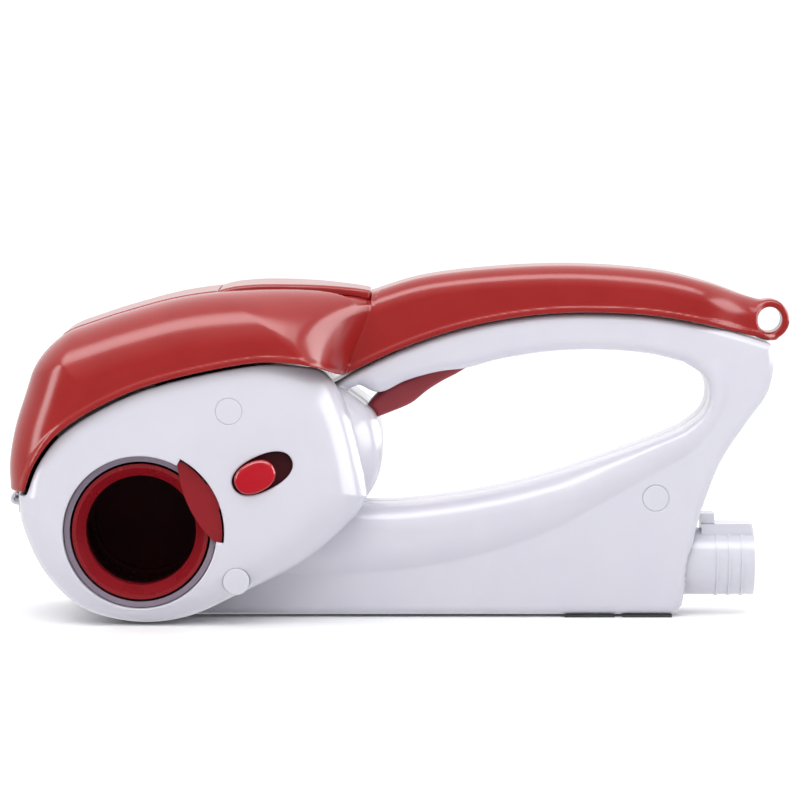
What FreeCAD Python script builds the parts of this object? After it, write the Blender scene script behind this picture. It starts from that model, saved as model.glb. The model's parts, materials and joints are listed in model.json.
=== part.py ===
"""Cordless handheld drum grater: pressing lever, drum, gear train, motor, trigger and battery pack.

Frame: millimetres, +Z up, X along the length with the grating head at -X and the hanging loop at +X,
Y across with the drum mouth at -Y. The origin is under the middle of the object, on the surface it
stands on.
"""
import FreeCAD, Part
import Sketcher
import math
import os

os.makedirs("parts", exist_ok=True)
doc = FreeCAD.newDocument("drum_grater")
V = FreeCAD.Vector

# ---------------------------------------------------------------- driving dimensions
SIZES = {
    # casing
    "wall": 2.2, "seam_gap": 0.8, "head_half": 44.0, "cover_seam": 26.0, "casing_half": 18.0,
    "edge_round": 4.0, "cover_round": 9.0, "gear_cover_round": 4.0,
    # lever
    "hood_half": 46.5, "lever_half": 17.0, "lever_wall": 2.6, "hood_round": 18.0, "lever_round": 7.0,
    "loop_radius": 7.6, "loop_half": 6.0, "hang_hole_radius": 4.7, "panel_half": 21.0, "panel_thick": 1.3,
    "hinge_pin_radius": 1.4, "hinge_barrel_radius": 2.4, "lever_barrel_half": 10.0, "bracket_half": 22.0,
    "hopper_front_reach": 30.0, "hopper_rear_reach": 65.3, "hopper_wall": 1.8, "presser_gap": 0.8,
    "hopper_near": 24.0, "hopper_far": 12.0, "presser_floor": 64.0,
    # drum and its chamber
    "ring_radius": 25.0, "ring_mouth_radius": 23.6, "ring_throat_radius": 20.3, "ring_depth": 6.0,
    "ring_length": 11.0, "drum_front": 39.5, "drum_inner_radius": 21.7, "drum_outer_radius": 22.3,
    "drum_rear": 16.0, "drum_hole_radius": 1.5, "sleeve_inner_radius": 25.9, "sleeve_outer_radius": 27.9,
    "sleeve_rear": 19.6, "mouth_radius": 28.2, "notch_radius": 31.0, "spigot_radius": 4.0,
    "spigot_end": 36.0, "bush_radius": 6.2, "running_fit": 0.05,
    # drum latch
    "latch_travel": 6.5, "latch_thick": 1.8, "latch_top": 41.6, "lens_reach": 20.3, "lens_left_radius": 43.5,
    "lens_right_radius": 30.2, "button_place": 47.2, "button_long": 15.7, "button_wide": 11.3,
    "button_top": 46.5, "slot_place": 50.1, "slot_long": 23.7, "slot_wide": 12.8, "tongue_half": 5.0,
    # gear train
    "motor_module": 0.7, "middle_module": 0.9, "drum_module": 1.1, "axle_radius": 1.5,
    "motor_radius": 18.0, "motor_back": 21.0, "motor_face": 15.3, "shaft_radius": 1.6, "pillar_radius": 2.0,
    # trigger and switch
    "trigger_half": 6.8, "trigger_pin_radius": 1.25, "plunger_radius": 0.8,
    # battery pack
    "pack_radius": 12.6, "pack_wall": 0.8, "pack_front": -25.0, "pack_seat": 105.0, "pack_end": 132.2,
    "cell_radius": 11.2, "cell_length": 42.6, "pack_height": 19.5, "sleeve_clear": 0.5, "sleeve_thick": 1.3,
    # fasteners and feet
    "plug_radius": 4.6, "screw_head_radius": 2.9, "screw_radius": 1.5, "boss_radius": 6.2, "foot_long": 18.5,
    "foot_wide": 7.0, "base_height": 1.0,
}
sheet = doc.addObject("Spreadsheet::Sheet", "sizes")
for row, (alias, value) in enumerate(SIZES.items(), start=1):
    sheet.set(f"A{row}", alias)
    sheet.set(f"B{row}", str(value))
    sheet.setAlias(f"B{row}", alias)
doc.recompute()


def size(alias):
    """A driving dimension, read back from the sheet."""
    return float(sheet.get(alias))


# ---------------------------------------------------------------- reference places, as (x, z)
DRUM = (-96.0, 35.0)
MOTOR = (-30.0, 64.0)
HINGE = (-142.8, 45.6)
TRIGGER_PIVOT = (22.5, 98.6)
SWITCH = (0.5, 95.8)
HANG = (137.6, 110.9)
UPPER_SCREW = (-63.2, 79.7)
LOWER_SCREW = (-60.6, 17.0)
REAR_SCREW = (94.8, 44.8)
LATCH_ANGLE = 26.0
TO_Y = FreeCAD.Rotation(V(1, 0, 0), -90)
TO_X = FreeCAD.Rotation(V(0, 1, 0), 90)


def place(x, y, z, turn=FreeCAD.Rotation()):
    return FreeCAD.Placement(V(x, y, z), turn)


def bind(thing, field, formula):
    """Bind a property to the sheet: alias names in the formula are read from the sheet."""
    for alias in sorted(SIZES, key=len, reverse=True):
        formula = formula.replace("<" + alias + ">", "sizes." + alias)
    thing.setExpression(field, formula)


# ---------------------------------------------------------------- building helpers
def outline(name, *stretches):
    """A closed outline in the XZ plane; two points make a line, more make a smooth curve."""
    edges = []
    for stretch in stretches:
        points = [V(x, 0, z) for x, z in stretch]
        if len(points) == 2:
            edges.append(Part.LineSegment(points[0], points[1]).toShape())
        else:
            curve = Part.BSplineCurve()
            curve.interpolate(points)
            edges.append(curve.toShape())
    thing = doc.addObject("Part::Feature", name)
    thing.Shape = Part.Face(Part.Wire(edges))
    return thing


def shifted(stretch, dx, dz):
    return [(x + dx, z + dz) for x, z in stretch]


def heading(start, end):
    """Unit direction from one (x, z) place to another."""
    dx, dz = end[0] - start[0], end[1] - start[1]
    reach = math.hypot(dx, dz)
    return (dx / reach, dz / reach)


def sideways(stretch, distance):
    """A stretch moved to its left by a distance, point by point."""
    moved = []
    for index, (x, z) in enumerate(stretch):
        before = stretch[max(index - 1, 0)]
        after = stretch[min(index + 1, len(stretch) - 1)]
        dx, dz = heading(before, after)
        moved.append((x - dz * distance, z + dx * distance))
    return moved


def crossing(first, first_heading, second, second_heading):
    """Where two (x, z) lines cross; halfway between their ends if they run the same way."""
    turn = first_heading[0] * second_heading[1] - first_heading[1] * second_heading[0]
    dx, dz = second[0] - first[0], second[1] - first[1]
    if abs(turn) < 0.2:
        return (first[0] + dx / 2, first[1] + dz / 2)
    reach = (dx * second_heading[1] - dz * second_heading[0]) / turn
    return (first[0] + first_heading[0] * reach, first[1] + first_heading[1] * reach)


def inner_outline(name, distance, *stretches):
    """An outline inside another: every stretch moved to its left, and their corners found again."""
    moved = [sideways(stretch, distance) for stretch in stretches]
    for index in range(len(moved)):
        before, after = stretches[index - 1], stretches[index]
        corner = crossing(moved[index - 1][-1], heading(before[-2], before[-1]),
                          moved[index][0], heading(after[0], after[1]))
        moved[index - 1][-1] = corner
        moved[index][0] = corner
    return outline(name, *moved)


def extrude(name, base, low, high):
    """Extrude an XZ outline across Y, from low to high, both formulas."""
    thing = doc.addObject("Part::Extrusion", name)
    thing.Base = base
    thing.DirMode = "Custom"
    thing.Dir = V(0, 1, 0)
    thing.Solid = True
    bind(thing, "LengthFwd", high)
    bind(thing, "LengthRev", f"-({low})")
    return thing


def fuse(name, *parts):
    thing = doc.addObject("Part::MultiFuse", name)
    thing.Shapes = list(parts)
    thing.Refine = True
    return thing


def common(name, *parts):
    thing = doc.addObject("Part::MultiCommon", name)
    thing.Shapes = list(parts)
    return thing


def cut(name, base, *tools):
    thing = doc.addObject("Part::Cut", name)
    thing.Base = base
    if len(tools) == 1:
        thing.Tool = tools[0]
    else:
        thing.Tool = fuse(name + "_tool", *tools)
    return thing


def rod(name, centre, low, high, radius):
    """A cylinder along Y at an (x, z) centre, from low to high."""
    thing = doc.addObject("Part::Cylinder", name)
    bind(thing, "Radius", radius)
    bind(thing, "Height", f"({high}) - ({low})")
    thing.Placement = place(centre[0], 0, centre[1], TO_Y)
    bind(thing, "Placement.Base.y", low)
    return thing


def bar(name, centre, low, high, radius):
    """A cylinder along X at a (y, z) centre, from low to high."""
    thing = doc.addObject("Part::Cylinder", name)
    bind(thing, "Radius", radius)
    bind(thing, "Height", f"({high}) - ({low})")
    thing.Placement = place(0, centre[0], centre[1], TO_X)
    bind(thing, "Placement.Base.x", low)
    return thing


def block(name, low, high):
    """A box between two corners."""
    thing = doc.addObject("Part::Box", name)
    thing.Length = high[0] - low[0]
    thing.Width = high[1] - low[1]
    thing.Height = high[2] - low[2]
    thing.Placement = place(*low)
    return thing


def along_latch(u, v=0.0):
    """A place measured from the drum axis along and across the latch's slide, as (x, z)."""
    angle = math.radians(LATCH_ANGLE)
    x = DRUM[0] + u * math.cos(angle) - v * math.sin(angle)
    z = DRUM[1] + u * math.sin(angle) + v * math.cos(angle)
    return (x, z)


def latch_slot(name, u, long, wide, low, high):
    """A round-ended bar along the latch's slide, through Y."""
    reach = (size(long) - size(wide)) / 2
    half = size(wide) / 2
    ends = [along_latch(u - reach), along_latch(u + reach)]
    corners = [along_latch(u - reach, -half), along_latch(u + reach, -half)]
    corners += [along_latch(u + reach, half), along_latch(u - reach, half)]
    sides = [corners[index:index + 2] for index in range(3)] + [[corners[3], corners[0]]]
    middle = extrude(name + "_middle", outline(name + "_flat", *sides), low, high)
    caps = [rod(f"{name}_end_{index}", end, low, high, f"<{wide}> / 2") for index, end in enumerate(ends)]
    return fuse(name, middle, *caps)


def capsule(name, start, end, radius, low, high):
    """A plate with round ends at two places."""
    dx = end[0] - start[0]
    dz = end[1] - start[1]
    reach = math.hypot(dx, dz)
    side = (-dz / reach * radius, dx / reach * radius)
    corners = [(start[0] + side[0], start[1] + side[1]), (end[0] + side[0], end[1] + side[1])]
    corners += [(end[0] - side[0], end[1] - side[1]), (start[0] - side[0], start[1] - side[1])]
    sides = [corners[index:index + 2] for index in range(3)] + [[corners[3], corners[0]]]
    middle = extrude(name + "_middle", outline(name + "_flat", *sides), low, high)
    rods = [rod(f"{name}_end_{index}", spot, low, high, str(radius)) for index, spot in enumerate((start, end))]
    return fuse(name, middle, *rods)


def rounded(name, base, radius, wanted):
    """Fillet the edges of a base that the wanted test picks."""
    doc.recompute()
    picked = [index for index, edge in enumerate(base.Shape.Edges, start=1) if wanted(edge)]
    thing = doc.addObject("Part::Fillet", name)
    thing.Base = base
    thing.Edges = [(index, radius, radius) for index in picked]
    return thing


def lies_at_y(y, tolerance=0.01):
    """Test for edges that lie wholly in one plane across Y."""
    def test(edge):
        box = edge.BoundBox
        return abs(box.YMin - y) < tolerance and abs(box.YMax - y) < tolerance
    return test


def sketch_on(body, name, role):
    """A sketch on one of the body's own origin planes."""
    plane = [feature for feature in body.Origin.OriginFeatures if feature.Role == role][0]
    sketch = body.newObject("Sketcher::SketchObject", name)
    sketch.AttachmentSupport = (plane, [""])
    sketch.MapMode = "FlatFace"
    return sketch


def dimension(sketch, kind, index, formula):
    """Hold a corner's distance from the sketch origin, bound to the sheet."""
    value = evaluate(formula)
    if abs(value) < 1e-9:
        axis = -2 if kind == "DistanceX" else -1
        sketch.addConstraint(Sketcher.Constraint("PointOnObject", index, 1, axis))
        return
    number = sketch.addConstraint(Sketcher.Constraint(kind, -1, 1, index, 1, value))
    bind(sketch, f"Constraints[{number}]", formula)


def evaluate(formula):
    """The value of a sheet formula, to draw the sketch near its solved place."""
    total = 0.0
    for term in formula.replace("- ", "+ -").split("+"):
        term = term.strip()
        sign = -1.0 if term.startswith("-") else 1.0
        term = term.lstrip("-")
        total += sign * (size(term[1:-1]) if term.startswith("<") else float(term))
    return total


def turned(label, corners, where):
    """A PartDesign body revolved about its own Z axis from (radius, height) corners."""
    body = doc.addObject("PartDesign::Body", label)
    sketch = sketch_on(body, label + "_profile", "XZ_Plane")
    values = [(evaluate(radius), evaluate(height)) for radius, height in corners]
    count = len(corners)
    for index in range(count):
        start = V(values[index][0], values[index][1], 0)
        end = V(values[(index + 1) % count][0], values[(index + 1) % count][1], 0)
        sketch.addGeometry(Part.LineSegment(start, end), False)
    for index in range(count):
        sketch.addConstraint(Sketcher.Constraint("Coincident", index, 2, (index + 1) % count, 1))
    for index, (radius, height) in enumerate(corners):
        dimension(sketch, "DistanceX", index, radius)
        dimension(sketch, "DistanceY", index, height)
    revolution = body.newObject("PartDesign::Revolution", label + "_turn")
    revolution.Profile = sketch
    revolution.ReferenceAxis = (sketch, ["V_Axis"])
    revolution.Angle = 360
    body.Placement = where
    body.Label = label
    nodes.append(body)
    return body


def finish(label, thing):
    """Name a finished sub-part and keep it for export."""
    thing.Label = label
    nodes.append(thing)
    return thing


nodes = []

# ---------------------------------------------------------------- outlines of the casing, as (x, z)
HEAD_LOWER = [(-141.3, 50), (-139.6, 36.5), (-131.8, 19.5), (-118, 6.2), (-99, 1.0), (-80, 2.6),
              (-61, 10.6), (-36, 23), (-18.5, 38.2)]
HEAD_BULGE = [(-18.5, 38.2), (-9.4, 51.2), (-6.9, 64), (-9.7, 76), (-20, 85)]
HEAD_DECK = [(-20, 85), (-28, 88.5), (-42, 94), (-58, 98), (-78, 99.5), (-100, 94.5), (-122, 81.5), (-137, 63),
             (-141.3, 50)]
HEAD_LOOP = [HEAD_LOWER, HEAD_BULGE, HEAD_DECK]
head_outline = outline("head_outline", *HEAD_LOOP)

COLUMN = [(104.8, 4.2), (106.6, 14), (109.4, 29.8), (112.2, 40.4), (118.8, 57.7), (128.1, 72.1),
          (136.2, 83.6), (138.6, 94), (138, 102)]
SEAT = [(138, 102), (127.2, 105.3), (113.1, 109.1), (94.1, 112.4), (75.2, 113.6), (56.2, 113.3), (37.3, 111),
        (18.4, 106.7), (-0.6, 100), (-16.5, 92.5), (-24, 88.5)]
GRIP_LOOP = [[(-78, 1.0), (101.6, 1.0)], [(101.6, 1.0), (104, 2.0), (104.8, 4.2)], COLUMN, SEAT,
             [(-24, 88.5), (-34, 60)], [(-34, 60), (-76, 30)], [(-76, 30), (-78, 1.0)]]
grip_outline = outline("grip_outline", *GRIP_LOOP)

OPENING_ROOF = [(-15.7, 87), (-8.1, 84.1), (1.8, 88.5), (13.6, 91.8), (24.7, 93.3), (37.5, 96.7), (56.5, 99.5),
                (75, 100), (92, 98.6), (105, 95.6)]
OPENING_REAR = [(105, 95.6), (112.6, 90.3), (114.6, 83.4), (112.4, 76.6), (105, 70.4)]
OPENING_FLOOR = [(105, 70.4), (94.7, 66.1), (75.7, 59.3), (56.6, 53), (37.6, 48.1), (18.5, 44.7), (-0.6, 42.6),
                 (-12.5, 42.4)]
OPENING_LOOP = [OPENING_ROOF, OPENING_REAR, OPENING_FLOOR, [(-12.5, 42.4), (-22, 64)],
                [(-22, 64), (-15.7, 87)]]
finger_opening = outline("finger_opening", *OPENING_LOOP)


# ---------------------------------------------------------------- two-part casing
def around_the_hand(edge):
    """True for the floor and the rear bend of the finger opening."""
    box = edge.BoundBox
    return box.XMin > -13 and box.XMax < 116 and 42 < box.ZMin and box.ZMax < 97 and edge.Length > 30


def casing_half(label, near):
    """One half of the white casing: head, grip loop, column and battery base, hollow inside."""
    low, high = ("-<cover_seam>", "0") if near else ("0", "<cover_seam>")
    slim_low, slim_high = ("-<casing_half>", "0") if near else ("0", "<casing_half>")
    side = "near" if near else "far"
    outer_y = -size("casing_half") if near else size("casing_half")
    head = extrude(f"{side}_head", head_outline, low, high)
    grip_block = extrude(f"{side}_grip_block", grip_outline, slim_low, slim_high)
    hand = extrude(f"{side}_hand", finger_opening, "-<head_half>", "<head_half>")
    grip = cut(f"{side}_grip", grip_block, hand)
    grip_soft = rounded(f"{side}_grip_soft", grip, size("edge_round"),
                        lambda edge: lies_at_y(outer_y)(edge) and around_the_hand(edge))
    solid = fuse(f"{side}_solid", head, grip_soft)
    head_inner = inner_outline(f"{side}_head_inner", size("wall"), *HEAD_LOOP)
    grip_inner = inner_outline(f"{side}_grip_inner", size("wall"), *GRIP_LOOP)
    hand_inner = inner_outline(f"{side}_hand_inner", size("wall"), *OPENING_LOOP)
    if near:
        room = extrude(f"{side}_head_room", head_inner, "-<cover_seam> + <wall>", "1")
        slim_room = extrude(f"{side}_slim_room", grip_inner, "-<casing_half> + <wall>", "1")
    else:
        room = extrude(f"{side}_head_room", head_inner, "-1", "<cover_seam> + 1")
        slim_room = extrude(f"{side}_slim_room", grip_inner, "-1", "<casing_half> - <wall>")
    kept = extrude(f"{side}_loop_wall", hand_inner, "-<head_half>", "<head_half>")
    grip_room = cut(f"{side}_grip_room", slim_room, kept)
    hollow = cut(f"{side}_hollow", solid, room, grip_room)
    bosses = [rod(f"{side}_rear_boss", REAR_SCREW, "-<casing_half> + 0.5" if near else "0",
                  "0" if near else "<casing_half> - 1", "<boss_radius>")]
    holes = [rod(f"{side}_rear_hole", REAR_SCREW, "-<casing_half> - 1" if near else "-1",
                 "1" if near else "10", "<screw_radius> + 0.1")]
    if near:
        holes.append(rod("near_rear_recess", REAR_SCREW, "-<casing_half> - 1", "-10", "<plug_radius> + 0.1"))
        holes.append(rod("near_drum_hole", DRUM, "-<head_half>", "1", "<sleeve_outer_radius> + 0.15"))
        for name, spot in (("upper", UPPER_SCREW), ("lower", LOWER_SCREW)):
            bosses.append(rod(f"near_{name}_boss", spot, "-<cover_seam>", "-8", "4"))
            holes.append(rod(f"near_{name}_hole", spot, "-<head_half>", "-9.5", "<screw_radius> + 0.1"))
    holes.append(bar(f"{side}_pack_hole", (0, size("pack_height")), "-27.5", "120",
                     "<pack_radius> + <sleeve_clear> + <sleeve_thick> + 0.05"))
    holes.append(block(f"{side}_trigger_slot", (-16, -7.4, 78), (26.6, 7.4, 98)))
    holes.append(block(f"{side}_trigger_nose_room", (-14.5, -7.4, 72.6), (-5, 7.4, 80)))
    holes.append(block(f"{side}_hopper_hole", (-141, -26.1, 52), (-74.8, 14.1, 110)))


    pin = rod(f"{side}_trigger_pin_hole", TRIGGER_PIVOT, "-11", "11", "<trigger_pin_radius> + 0.02")
    pin_boss = rod(f"{side}_trigger_pin_boss", TRIGGER_PIVOT, "-<casing_half> + 1" if near else "7.4",
                   "-7.4" if near else "<casing_half> - 1", "3.2")
    knuckle_low, knuckle_high = ("-<bracket_half>", "-<lever_barrel_half> - 0.3") if near else (
        "<lever_barrel_half> + 0.3", "<bracket_half>")
    bosses.append(rod(f"{side}_knuckle", HINGE, knuckle_low, knuckle_high, "<hinge_barrel_radius>"))
    knuckle_y = (-22, -10.3) if near else (10.3, 22)
    bosses.append(block(f"{side}_knuckle_web", (-142.8, knuckle_y[0], 43.2), (-139.2, knuckle_y[1], 48)))
    holes.append(rod(f"{side}_hinge_hole", HINGE, "-60", "60", "<hinge_pin_radius> + 0.01"))
    holes.append(rod(f"{side}_lever_barrel_room", HINGE, "-<lever_barrel_half> - 0.3",
                     "<lever_barrel_half> + 0.3", "<hinge_barrel_radius> + 0.5"))
    filled = fuse(f"{side}_filled", hollow, pin_boss, *bosses)
    return finish(label, cut(f"{side}_casing", filled, pin, *holes))


casing_half("near_shell", True)
casing_half("far_shell", False)

# ---------------------------------------------------------------- egg-shaped cover on the drum side
HOOD_SEAM = [(-23.2, 91.4), (-32, 95.9), (-46, 97.8), (-58.3, 97), (-79.1, 92.9), (-97.8, 87.4), (-115.1, 79),
             (-126.8, 70.5), (-134.4, 60.2), (-138.6, 49.6)]
COVER_RIM = [(-140.4, 48), (-139, 36.5), (-131.5, 19.5), (-118, 6.2), (-99, 1.0), (-80, 2.6), (-61, 10.6),
             (-36, 23), (-18.5, 38.2), (-12.6, 47)]
COVER_REAR = [(-12.6, 47), (-16.3, 56), (-21.5, 72), (-23.2, 91.4 - size("seam_gap"))]
COVER_TOP = shifted(HOOD_SEAM, 0, -size("seam_gap"))
cover_outline = outline("cover_outline", COVER_RIM, COVER_REAR, COVER_TOP,
                        [COVER_TOP[-1], COVER_RIM[0]])
cover_block = extrude("cover_block", cover_outline, "-<head_half>", "-<cover_seam>")


def cover_lower_edge(edge):
    """True for the long edge round the bottom of the cover."""
    return edge.BoundBox.Center.z < 40 and edge.Length > 100


cover_soft = rounded("cover_soft", cover_block, size("cover_round"),
                     lambda edge: lies_at_y(-size("head_half"))(edge) and cover_lower_edge(edge))
cover_inner = inner_outline("cover_inner", size("wall"), COVER_RIM, COVER_REAR, COVER_TOP,
                            [COVER_TOP[-1], COVER_RIM[0]])
cover_room = extrude("cover_room", cover_inner, "-<head_half> + <wall>", "-<cover_seam> + 1")
cover_room_soft = rounded("cover_room_soft", cover_room, size("cover_round") - size("wall"),
                          lambda edge: lies_at_y(-size("head_half") + size("wall"))(edge)
                          and cover_lower_edge(edge))
cover_shell = cut("cover_shell", cover_soft, cover_room_soft)
cover_bosses = [rod(f"cover_boss_{index}", spot, "-<head_half> + 1", "-<cover_seam>", "<boss_radius>")
                for index, spot in enumerate((UPPER_SCREW, LOWER_SCREW))]
spring_post = rod("spring_post", along_latch(72.6), "-<head_half> + 1", "-38", "1.9")
cover_filled = fuse("cover_filled", cover_shell, spring_post, *cover_bosses)
cover_holes = [rod("cover_mouth", DRUM, "-<head_half> - 1", "-36", "<mouth_radius>")]
notch_disc = rod("notch_disc", DRUM, "-<head_half> - 1", "-<head_half> + <wall> + 0.1", "<notch_radius>")
notch_wedge = extrude("notch_wedge", outline("notch_flat", [DRUM, along_latch(60, -43)],
                                             [along_latch(60, -43), along_latch(60, 43)],
                                             [along_latch(60, 43), DRUM]), "-<head_half> - 1", "-40")
cover_holes.append(common("cover_notch", notch_disc, notch_wedge))
cover_holes.append(latch_slot("cover_slot", size("slot_place"), "slot_long", "slot_wide",
                              "-<head_half> - 1", "-40"))
for index, spot in enumerate((UPPER_SCREW, LOWER_SCREW)):
    cover_holes.append(rod(f"cover_recess_{index}", spot, "-<head_half> - 1", "-36", "<plug_radius> + 0.1"))
    cover_holes.append(rod(f"cover_screw_hole_{index}", spot, "-37", "-20", "<screw_radius> + 0.1"))
finish("drum_side_cover", cut("cover", cover_filled, *cover_holes))

# ---------------------------------------------------------------- cover over the gears, on the far side
GEAR_SIDE = COVER_RIM[:-1] + HEAD_BULGE[1:]
GEAR_LOOP = [GEAR_SIDE, [HEAD_BULGE[-1], COVER_TOP[0]], COVER_TOP, [COVER_TOP[-1], COVER_RIM[0]]]
gear_block = extrude("gear_cover_block", outline("gear_cover_outline", *GEAR_LOOP), "<cover_seam>", "<head_half>")
gear_soft = rounded("gear_cover_soft", gear_block, size("gear_cover_round"),
                    lambda edge: lies_at_y(size("head_half"))(edge) and edge.Length > 200)
gear_room = extrude("gear_cover_room", inner_outline("gear_cover_inner", size("wall"), *GEAR_LOOP),
                    "<cover_seam> - 1", "<head_half> - <wall>")
finish("gearbox_cover", cut("gear_cover", gear_soft, gear_room))

# ---------------------------------------------------------------- chamber, hopper and battery sleeve
hopper_ring = cut("hopper_ring", rod("hopper_ring_outer", HINGE, "-<hopper_near> - 2", "<hopper_far> + 2",
                                     "<hopper_rear_reach> + <hopper_wall>"),
                  rod("hopper_ring_inner", HINGE, "-<hopper_near> - 3", "<hopper_far> + 3",
                      "<hopper_front_reach> - <hopper_wall>"))
hopper_way = cut("hopper_way", rod("hopper_way_outer", HINGE, "-<hopper_near>", "<hopper_far>",
                                   "<hopper_rear_reach>"),
                 rod("hopper_way_inner", HINGE, "-<hopper_near> - 1", "<hopper_far> + 1",
                     "<hopper_front_reach>"))
hopper_zone = extrude("hopper_zone", outline("hopper_zone_flat", [(-141, 50), (-60, 50)], [(-60, 50), (-60, 98)],
                                             [(-60, 98), (-100, 96.5), (-122, 83), (-136.6, 66), (-141, 50)]),
                      "-<hopper_near> - 5", "<hopper_far> + 5")
hopper_solid = common("hopper_solid", hopper_ring, hopper_zone)
finish("hopper", cut("hopper_cut", hopper_solid, hopper_way,
                     rod("hopper_drum_room", DRUM, "-<head_half>", "<head_half>",
                         "<sleeve_outer_radius> + 0.05")))

sleeve_outer = rod("sleeve_outer", DRUM, "-<drum_front>", "<sleeve_rear>", "<sleeve_outer_radius>")
sleeve_bore = rod("sleeve_bore", DRUM, "-<drum_front> - 1", "<sleeve_rear> - 1.4", "<sleeve_inner_radius>")
sleeve_lip = rod("sleeve_lip", DRUM, "0", "<sleeve_rear> + 1", "<drum_inner_radius> + 0.1")
sleeve_window = common("sleeve_window", hopper_way, block("sleeve_window_zone", (-141, -40, 50), (-60, 40, 100)))
finish("chamber_sleeve", cut("chamber", sleeve_outer, sleeve_bore, sleeve_lip, sleeve_window))

PACK = (0, size("pack_height"))
pack_sleeve = bar("pack_sleeve_outer", PACK, "<pack_front> - 2.4", "103",
                  "<pack_radius> + <sleeve_clear> + <sleeve_thick>")
pack_bore = bar("pack_sleeve_bore", PACK, "<pack_front> - 1", "104", "<pack_radius> + <sleeve_clear>")
finish("battery_sleeve", cut("pack_sleeve", pack_sleeve, pack_bore))
contacts = [block("contact_strip", (-30, -3, 16.5), (-27.5, 3, 22.5)),
            bar("contact_disc", PACK, "<pack_front> - 1", "<pack_front> - 0.5", "6")]
finish("front_contact", contacts[1])
finish("contact_terminal", contacts[0])

# ---------------------------------------------------------------- gears
GEARS = {"motor_pinion": 12, "first_wheel": 48, "middle_pinion": 12, "second_wheel": 40,
         "drum_pinion": 15, "drum_wheel": 36}


def meeting_place(first, first_reach, second, second_reach):
    """The upper of the two places at given reaches from two (x, z) centres."""
    dx, dz = second[0] - first[0], second[1] - first[1]
    apart = math.hypot(dx, dz)
    along = (apart ** 2 + first_reach ** 2 - second_reach ** 2) / (2 * apart)
    across = math.sqrt(first_reach ** 2 - along ** 2)
    x = first[0] + (along * dx - across * dz) / apart
    z = first[1] + (along * dz + across * dx) / apart
    return (x, z)


motor_reach = size("motor_module") * (GEARS["motor_pinion"] + GEARS["first_wheel"]) / 2
middle_reach = size("middle_module") * (GEARS["middle_pinion"] + GEARS["second_wheel"]) / 2
drum_reach = size("drum_module") * (GEARS["drum_pinion"] + GEARS["drum_wheel"]) / 2
train = math.atan2(DRUM[1] - MOTOR[1], DRUM[0] - MOTOR[0])
FIRST_AXLE = (MOTOR[0] + motor_reach * math.cos(train), MOTOR[1] + motor_reach * math.sin(train))
SECOND_AXLE = meeting_place(FIRST_AXLE, middle_reach, DRUM, drum_reach)


def tooth_side(radius, base_radius, pitch_radius, half_tooth):
    """Half the tooth's angle at a radius, from the involute of the base circle."""
    pressure = math.acos(base_radius / pitch_radius)
    spread = half_tooth + math.tan(pressure) - pressure
    if radius <= base_radius:
        return spread
    angle = math.acos(base_radius / radius)
    return spread - (math.tan(angle) - angle)


def gear(name, teeth, module, facing, low, high, bore):
    """A spur gear along Y; facing is the direction, in degrees, that a tooth or a gap points to."""
    pitch_radius = module * teeth / 2
    base_radius = pitch_radius * math.cos(math.radians(20))
    root_radius = pitch_radius - 1.25 * module
    tip_radius = pitch_radius + 0.95 * module
    half_tooth = math.pi / 2 / teeth - 0.06 * module / pitch_radius
    radii = [root_radius] + [max(root_radius, base_radius) + (tip_radius - max(root_radius, base_radius))
                             * step / 4 for step in range(5)]
    radii = sorted(set(radii))
    flank = [(radius, tooth_side(radius, base_radius, pitch_radius, half_tooth)) for radius in radii]
    corners = []
    for tooth in range(teeth):
        middle = math.radians(facing) + 2 * math.pi * tooth / teeth
        turns = [(radius, middle - half) for radius, half in flank]
        turns += [(radius, middle + half) for radius, half in reversed(flank)]
        corners += [V(radius * math.cos(angle), 0, radius * math.sin(angle)) for radius, angle in turns]
    rim = Part.makePolygon(corners + [corners[0]])
    hole = Part.Wire(Part.makeCircle(bore, V(0, 0, 0), V(0, 1, 0)))
    disc = Part.Face([rim, hole]) if bore else Part.Face(rim)
    disc.validate()
    flat = doc.addObject("Part::Feature", name + "_teeth")
    flat.Shape = disc
    return extrude(name + "_blank", flat, str(low), str(high))


def bearing(start, end):
    """Direction in degrees from one (x, z) place to another."""
    return math.degrees(math.atan2(end[1] - start[1], end[0] - start[0]))


def set_gear(name, centre, other, module, low, high, bore, gap):
    """A gear on its axle whose tooth, or gap, faces the gear that it meshes with."""
    teeth = GEARS[name]
    facing = bearing(centre, other) + (180 / teeth if gap else 0)
    thing = gear(name, teeth, size(module), facing, low, high, bore)
    thing.Placement = place(centre[0], 0, centre[1])
    return thing


AXLE_BORE = size("axle_radius") + size("running_fit")
finish("motor_pinion", set_gear("motor_pinion", MOTOR, FIRST_AXLE, "motor_module", 31.6, 36.2,
                                size("shaft_radius"), False))
first_parts = [set_gear("first_wheel", FIRST_AXLE, MOTOR, "motor_module", 32, 35.5, AXLE_BORE, True),
               set_gear("middle_pinion", FIRST_AXLE, SECOND_AXLE, "middle_module", 26.6, 32, AXLE_BORE, False)]
finish("first_compound_gear", fuse("first_gear", *first_parts))
second_parts = [set_gear("second_wheel", SECOND_AXLE, FIRST_AXLE, "middle_module", 27, 31, AXLE_BORE, True),
                set_gear("drum_pinion", SECOND_AXLE, DRUM, "drum_module", 20.4, 27, AXLE_BORE, False)]
finish("second_compound_gear", fuse("second_gear", *second_parts))
finish("drum_gear", set_gear("drum_wheel", DRUM, SECOND_AXLE, "drum_module", 21, 26,
                             size("spigot_radius"), True))

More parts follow.
